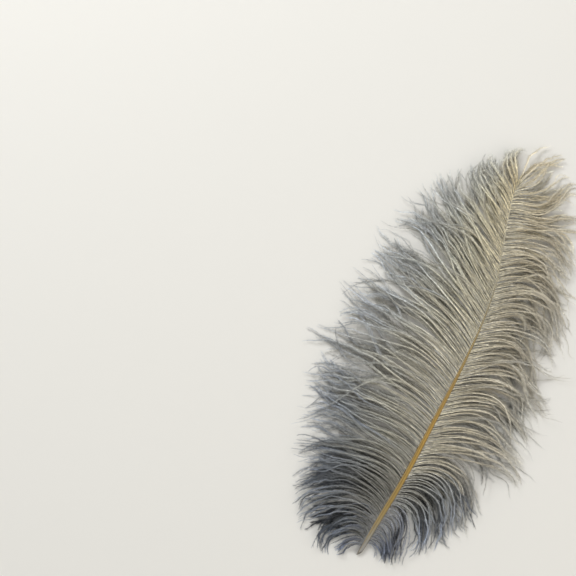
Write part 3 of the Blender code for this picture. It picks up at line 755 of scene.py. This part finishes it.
# painted shade: the down's middle layer is given a low tone of 0.32, standing in for the shade under the top down
for name, side, lo, hi, pitch, seed, node, table in (
        ("left_down_middle", -1, 0.032, 0.215, 2.0, 25, "left_down", None),
        ("right_down_middle", 1, 0.148, 0.250, 2.2, 26, "right_down", RIGHT_DOWN)):
    total += barb_piece(name, side, lo, hi, pitch, seed, coat(name + "_coat", ALONG_DOWN, DOWN_FOOT, 8.0 + seed, 0.32, silver=0.6, sheen=0.12), [node],
                        {"lift": 4.5, "low": (0.10, 0.55), "wisp": (1, 3), "lock": (2, 4), "gather": 0.3, "tight": 0.6, "wild": 0.1, "loose": 1.5,
                         "steps": 40, "length": 0.99, "curly": 1.3, "table": table}, dict(DOWN, step=0.42, reach=5.0, width=0.32), stem=0.22)
# painted shade: the down's under layer is given a tone of only 0.12, a dark layer standing in for the shade at the
# bottom of the down
for name, side, lo, hi, pitch, seed, node, table, length in (
        ("left_down_under", -1, 0.035, 0.215, 1.7, 23, "left_down", None, 0.84),
        ("right_down_under", 1, 0.134, 0.250, 1.8, 24, "right_down", RIGHT_DOWN, 0.62)):
    total += barb_piece(name, side, lo, hi, pitch, seed, coat(name + "_coat", ALONG_DOWN, DOWN_FOOT, 9.0 + seed, 0.12, sheen=0.06), [node],
                        {"lift": 4.0, "low": (0.3, 0.85), "gather": 0.2, "tight": 0.4, "steps": 30, "length": length, "curly": 0.6,
                         "table": table}, dict(DOWN, step=0.42, reach=5.6, width=0.42), stem=0.2)
# the tufts at the foot hug the shaft
for name, side, lo, hi, pitch, seed, node, table, tone, lift in (
        ("left_down_tuft", -1, 0.018, 0.110, 0.95, 27, "left_down", LEFT_TUFT, 0.66, 3.4),
        ("right_down_tuft", 1, 0.032, 0.150, 1.2, 28, "right_down", RIGHT_TUFT, 0.70, 3.4),
        # painted shade: the under tufts' tone of 0.14 stands in for the shade beneath the top tufts
        ("left_tuft_under", -1, 0.020, 0.110, 1.6, 29, "left_down", LEFT_TUFT, 0.14, 1.4),
        ("right_tuft_under", 1, 0.034, 0.150, 2.4, 30, "right_down", RIGHT_TUFT, 0.14, 1.4)):
    total += barb_piece(name, side, lo, hi, pitch, seed, coat(name + "_coat", ALONG_TUFT, DOWN_FOOT, 8.0 + seed, tone, silver=0.7), [node],
                        {"lift": lift, "wisp": (1, 3), "lock": (2, 4), "gather": 0.4, "tight": 0.7, "wild": 0.0, "loose": 0.8, "relief": 0.8,
                         "steps": 32, "curly": 0.9, "table": table}, dict(DOWN, step=0.36, reach=3.6, width=0.26), stem=0.22)
print("TRIANGLES", total)

# ---------------------------------------------------------------- surroundings
floor_me = bpy.data.meshes.new("floor")
FLAT, BEND, WALL, AROUND = 3.2, 1.6, 1.2, 96
profile = [(FLAT, 0.0)]
for k in range(1, 17):
    a = 0.5 * math.pi * k / 16
    profile.append((FLAT + BEND * math.sin(a), BEND * (1 - math.cos(a))))
profile.append((FLAT + BEND, BEND + WALL))
rows = [[(r * math.cos(2 * math.pi * k / AROUND), r * math.sin(2 * math.pi * k / AROUND), z) for k in range(AROUND)] for r, z in profile]
corners = [(0.0, 0.0, 0.0)] + [p for row in rows for p in row]
quads = [(0, 1 + k, 1 + (k + 1) % AROUND) for k in range(AROUND)]
for i in range(len(rows) - 1):
    for k in range(AROUND):
        a, b = 1 + i * AROUND, 1 + (i + 1) * AROUND
        m = (k + 1) % AROUND
        quads.append((a + k, b + k, b + m, a + m))
floor_me.from_pydata(corners, [], quads)
floor_me.shade_smooth()
floor = bpy.data.objects.new("floor", floor_me)
bpy.context.scene.collection.objects.link(floor)
floor_mat, nt, shader = node_tree("pale_floor")
shader.inputs["Base Color"].default_value = (0.845, 0.82, 0.765, 1.0)
shader.inputs["Roughness"].default_value = 0.65
where = nt.nodes.new("ShaderNodeTexCoord")
height = nt.nodes.new("ShaderNodeSeparateXYZ")
nt.links.new(where.outputs["Object"], height.inputs[0])
glow = ramp_node(nt, height.outputs[2], [(0.02, (0.0, 0.0, 0.0)), (0.55, (0.31, 0.305, 0.29)), (1.0, (0.34, 0.335, 0.32))], "EASE")
nt.links.new(glow, shader.inputs["Emission Color"])
shader.inputs["Emission Strength"].default_value = 1.0
floor_me.materials.append(floor_mat)

scene = bpy.context.scene
world = bpy.data.worlds.new("soft_room")
world.use_nodes = True
world.node_tree.nodes["Background"].inputs[0].default_value = (0.93, 0.96, 1.0, 1.0)
world.node_tree.nodes["Background"].inputs[1].default_value = 0.41
scene.world = world
scene.view_settings.view_transform = "Standard"
scene.view_settings.look = "None"


def area_light(name, location, target, size, power, colour):
    data = bpy.data.lights.new(name, "AREA")
    data.shape = "SQUARE"
    data.size = size
    data.energy = power
    data.color = colour
    ob = bpy.data.objects.new(name, data)
    ob.location = location
    ob.rotation_mode = "QUATERNION"
    ob.rotation_quaternion = (Vector(target) - Vector(location)).to_track_quat("-Z", "Y")
    scene.collection.objects.link(ob)


area_light("key", (-1.55, 1.28, 1.55), (0, 0, 0), 0.85, 38.0, (0.96, 0.98, 1.0))
area_light("fill", (1.3, -0.2, 1.1), (0, 0, 0), 1.0, 6.2, (1.0, 0.95, 0.88))

# The camera looks down on the feather, turned so that the shaft leans to the right.
LEAN = math.radians(23.3)
up_row = Vector((-math.sin(LEAN), math.cos(LEAN), 0.0))
right_row = Vector((math.cos(LEAN), math.sin(LEAN), 0.0))
target = Vector((-0.16005, -0.0081, 0.008))
elevation = math.radians(87.0)
distance = 1.20
back = -up_row * math.cos(elevation) + Vector((0, 0, 1)) * math.sin(elevation)
cam_data = bpy.data.cameras.new("camera")
cam_data.sensor_width = 36.0
cam_data.lens = 75.0
cam = bpy.data.objects.new("camera", cam_data)
cam_z = back.normalized()
cam_x = right_row.normalized()
cam_y = cam_z.cross(cam_x).normalized()
cam.rotation_mode = "QUATERNION"
cam.rotation_quaternion = Matrix((cam_x, cam_y, cam_z)).transposed().to_quaternion()
cam.location = target + cam_z * distance
cam_data.clip_start, cam_data.clip_end = 0.01, 20.0
scene.collection.objects.link(cam)
scene.camera = cam
